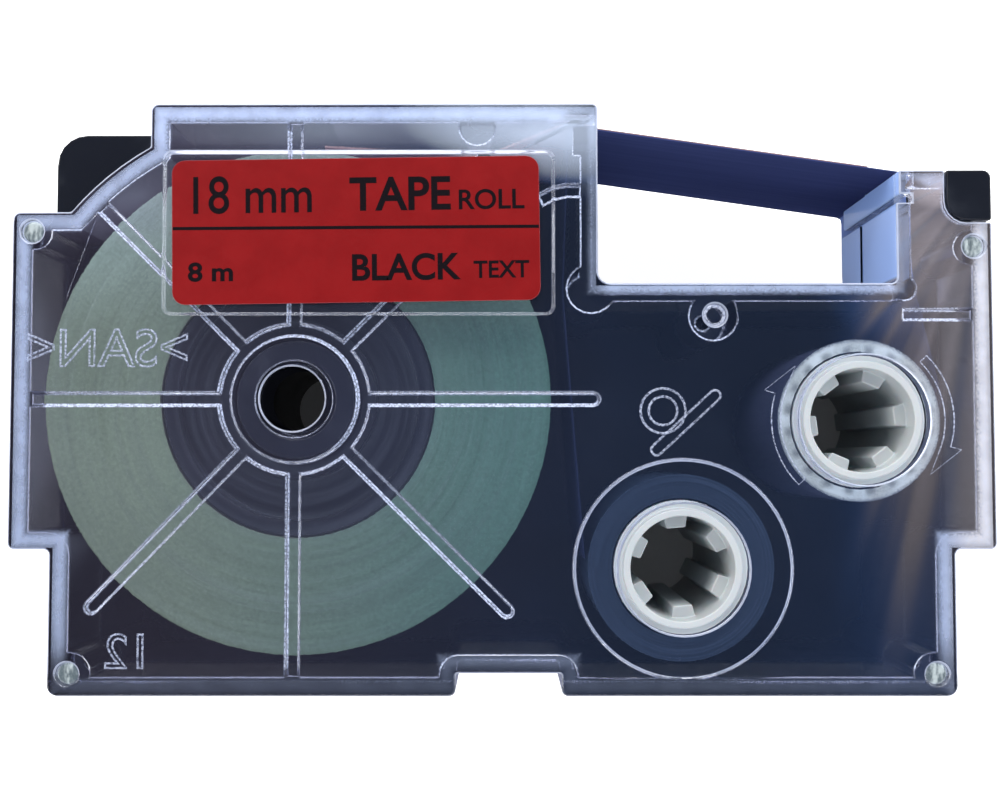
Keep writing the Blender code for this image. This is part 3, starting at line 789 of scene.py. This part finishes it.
def print_label():
    """The words on the label in two rows, and the rule between them."""
    ink = print_ink()
    print_height = LABEL_TOP + INK_OVER
    # Each word's name, letters, start along and up from the label's middle, capitals, width and boldness.
    words = [
        ("label_width_text", "18 mm", -13.15, 1.45, 3.0, 0.86, 0.02),
        ("label_kind_text", "TAPE", -0.45, 1.55, 2.62, 0.95, 0.07),
        ("label_kind_small_text", "ROLL", 7.8, 1.52, 1.56, 1.0, 0.03),
        ("label_length_text", "8 m", -12.9, -3.75, 1.45, 1.15, 0.05),
        ("label_colour_text", "BLACK", -0.45, -3.85, 2.05, 0.96, 0.06),
        ("label_use_text", "TEXT", 9.0, -3.8, 1.35, 0.95, 0.03),
    ]
    for name, text, along, up, cap, wide, bold in words:
        left, base = label_point(along, up)
        lettering(name, text, left, base, print_height, cap, ink, wide, bold, LABEL_TURN)
    bm = bmesh.new()
    bmesh.ops.create_cube(bm, size=1)
    bmesh.ops.scale(bm, vec=RULE_SIZE, verts=bm.verts)
    rule = piece_from_mesh("label_rule", bm, ink, "case")
    x, y = label_point(0, 0.2)
    rule.location = (x * MM, y * MM, print_height * MM)
    rule.rotation_euler.z = math.radians(RULE_TURN)


def turn_arrow(start):
    """The outline of a broad arrow that goes clockwise round the take-up hub."""
    inner_radius, outer_radius, barb_radius, tip_radius = 6.3, 7.0, 7.85, 6.6
    neck, tip = start - 62, start - 84
    outer = arc(TAKEUP_AXIS, outer_radius, start, neck, 10)
    inner = arc(TAKEUP_AXIS, inner_radius, neck, start, 10)
    barb = arc(TAKEUP_AXIS, barb_radius, neck, neck, 1)[:1]
    point = arc(TAKEUP_AXIS, tip_radius, tip, tip, 1)[:1]
    return outer + barb + point + inner


def mould_marks():
    """What is moulded under the cover: arrows, a ribbon pictogram, a boss's bore and two codes."""
    surface = clear_marks()
    height = ROOF_UNDER - 0.02
    thin, broad, bore = 0.11, 0.2, 0.26
    for i, start in enumerate((45, 225)):
        wire(f"turn_arrow_{i}", [turn_arrow(start)], height, thin, surface)
    roll = (12.35, -1.05)
    wire("roll_pictogram", [ring(roll, radius) for radius in (1.73, 1.1)], height, broad, surface)
    low, high, half = (11.84, -4.04), (16.36, 0.12), 0.42
    along = math.degrees(math.atan2(high[1] - low[1], high[0] - low[0]))
    bar = arc(high, half, along - 90, along + 90, 6) + arc(low, half, along + 90, along + 270, 6)
    wire("ribbon_pictogram", [bar], height, broad, surface)
    wire("boss_ring", [ring((16.27, 6.24), 0.72)], COVER_TOP - 0.4, bore, surface)
    moulded_words("polymer_mark", ">SAN<", -24.0, 2.4, 3.0, surface)
    moulded_words("cavity_number", "12", -26.6, -20.6, 2.7, surface)


def pin_ends():
    """A cut pin in each dimple over a corner of the case."""
    surface = pin_end()
    for i, (x, y) in enumerate(CORNER_PINS):
        bm = bmesh.new()
        bmesh.ops.create_cone(
            bm, cap_ends=True, segments=24, radius1=PIN_END_FOOT, radius2=PIN_END_TOP, depth=PIN_END_HIGH
        )
        height = COVER_TOP - DIMPLE_DEEP + PIN_END_HIGH / 2
        bmesh.ops.translate(bm, vec=(x, y, height), verts=bm.verts)
        piece_from_mesh(f"pin_end_{i}", bm, surface, "case")


def case_corners():
    """The case's outline, as (x, y) going anticlockwise. The left shoulder follows the tape roll."""
    notch = [
        (NOTCH_LEFT, -HALF_DEEP),
        (NOTCH_LEFT, NOTCH_Y),
        (NOTCH_RIGHT, NOTCH_Y),
        (NOTCH_RIGHT, -HALF_DEEP),
    ]
    right = [
        (HALF_FRONT, -HALF_DEEP),
        (HALF_FRONT, STEP_Y),
        (HALF_LONG, STEP_Y),
        (HALF_LONG, BACK_RIGHT),
    ]
    window = [
        (WINDOW_RIGHT, BACK_RIGHT),
        (WINDOW_RIGHT, WINDOW_FRONT),
        (WINDOW_LEFT, WINDOW_FRONT),
        (WINDOW_LEFT, HALF_DEEP),
    ]
    shoulder = [(-27.0, HALF_DEEP), *arc(TAPE_AXIS, 22.3, 119.6, 140.0, 6)]
    left = [
        (-HALF_LONG, 14.2),
        (-HALF_LONG, STEP_Y),
        (-HALF_FRONT, STEP_Y),
        (-HALF_FRONT, -HALF_DEEP),
    ]
    return notch + right + window + shoulder + left


def moved_in(distance):
    """The case's corners, each moved so that its sides shift in."""
    corners = case_corners()
    points = []
    for i, (x, y) in enumerate(corners):
        before, after = corners[i - 1], corners[(i + 1) % len(corners)]
        a = math.atan2(y - before[1], x - before[0])
        b = math.atan2(after[1] - y, after[0] - x)
        turn = math.remainder(b - a, math.tau)
        reach = distance / math.cos(turn / 2)
        inwards = a + turn / 2 + math.pi / 2
        points.append((x + reach * math.cos(inwards), y + reach * math.sin(inwards)))
    return points


def painted_rim_light():
    """A thin curved band inside the cover's rim, coloured with painted light: the light that its corner
    gathers.

    Its "inset" attribute is how far each point lies inside the case's outline, in millimetres.
    """
    surface = cover_glow()
    outer, inner, thick, steps = 0.12, 2.3, 0.06, 8
    low, drop = ROOF_UNDER + 0.62, 0.35
    shares = [i / steps for i in range(steps + 1)]
    upper = [(share, low - drop * (1 - share) ** 3) for share in shares]
    profile = upper + [(share, height - thick) for share, height in reversed(upper)]
    bm = bmesh.new()
    layer = bm.verts.layers.float.new("inset")
    loops = []
    for share, height in profile:
        inset = outer + (inner - outer) * share
        loop = [bm.verts.new((x, y, height)) for x, y in moved_in(inset)]
        for vertex in loop:
            vertex[layer] = inset
        loops.append(loop)
    for i, loop in enumerate(loops):
        following = loops[(i + 1) % len(loops)]
        for j in range(len(loop)):
            k = (j + 1) % len(loop)
            bm.faces.new((loop[j], loop[k], following[k], following[j]))
    return piece_from_mesh("painted_rim_light", bm, surface, "case", smooth=True)


# ---------------------------------------------------------------- studio


def make_floor():
    """A wide level sheet, a hair under the case."""
    reach, gap = 6000, 0.05
    bm = bmesh.new()
    bmesh.ops.create_grid(bm, x_segments=8, y_segments=8, size=reach)
    bmesh.ops.scale(bm, vec=(MM, MM, MM), verts=bm.verts)
    mesh = bpy.data.meshes.new("floor")
    bm.to_mesh(mesh)
    bm.free()
    mesh.materials.append(floor_paper())
    floor = bpy.data.objects.new("floor", mesh)
    floor.location.z = -gap * MM
    bpy.context.scene.collection.objects.link(floor)


def aim(made, place, target=(0.0, 0.0, 0.01)):
    """Puts a lamp somewhere, in metres, and turns it towards the cartridge."""
    from_target = [a - b for a, b in zip(place, target)]
    flat = math.hypot(from_target[0], from_target[1])
    made.location = place
    made.rotation_euler = (
        math.atan2(flat, from_target[2]),
        0,
        math.atan2(from_target[0], -from_target[1]) if flat else 0,
    )


def make_lights():
    """Soft boxes round the cartridge, the strongest behind it, and a sky that is dim overhead."""
    # Each lamp's name, place and size in metres, power in watts and colour.
    boxes = [
        ("back_light", (-0.06, 0.42, 0.30), 0.5, 2.3, (1.0, 0.98, 0.96)),
        ("left_light", (-0.42, 0.02, 0.28), 0.4, 1.2, (1.0, 0.97, 0.93)),
        ("right_light", (0.42, 0.08, 0.30), 0.4, 1.3, (0.93, 0.97, 1.0)),
        ("front_light", (0.05, -0.42, 0.34), 0.5, 1.2, (0.97, 0.98, 1.0)),
    ]
    for name, place, size, power, colour in boxes:
        light = bpy.data.lights.new(name, "AREA")
        light.shape = "RECTANGLE"
        light.size = size
        light.size_y = size * 0.5
        light.energy = power
        light.color = colour
        made = bpy.data.objects.new(name, light)
        aim(made, place)
        bpy.context.scene.collection.objects.link(made)
    world = bpy.data.worlds.new("studio")
    world.use_nodes = True
    tree = world.node_tree
    direction = tree.nodes.new("ShaderNodeTexCoord")
    parts = tree.nodes.new("ShaderNodeSeparateXYZ")
    tree.links.new(direction.outputs["Generated"], parts.inputs[0])
    sky = tree.nodes.new("ShaderNodeValToRGB")
    sky.color_ramp.elements[0].position = 0.02
    sky.color_ramp.elements[0].color = (0.95, 0.96, 0.98, 1)
    sky.color_ramp.elements[1].position = 0.75
    sky.color_ramp.elements[1].color = (0.13, 0.15, 0.20, 1)
    tree.links.new(parts.outputs[2], sky.inputs[0])
    tree.links.new(sky.outputs[0], tree.nodes["Background"].inputs["Color"])
    bpy.context.scene.world = world


def make_camera():
    data = bpy.data.cameras.new("camera")
    data.lens = CAMERA_LENS
    data.sensor_width = 36
    data.clip_start = 0.001
    camera = bpy.data.objects.new("camera", data)
    camera.location = [value * MM for value in CAMERA_AT]
    camera.rotation_euler = [math.radians(value) for value in CAMERA_TURN]
    bpy.context.scene.collection.objects.link(camera)
    bpy.context.scene.camera = camera


make_camera()
make_lights()
make_floor()
finish_cad_nodes(clear_plastic())
painted_rim_light()
print_label()
mould_marks()
pin_ends()

view = bpy.context.scene.view_settings
view.view_transform = "Standard"
view.look = "None"
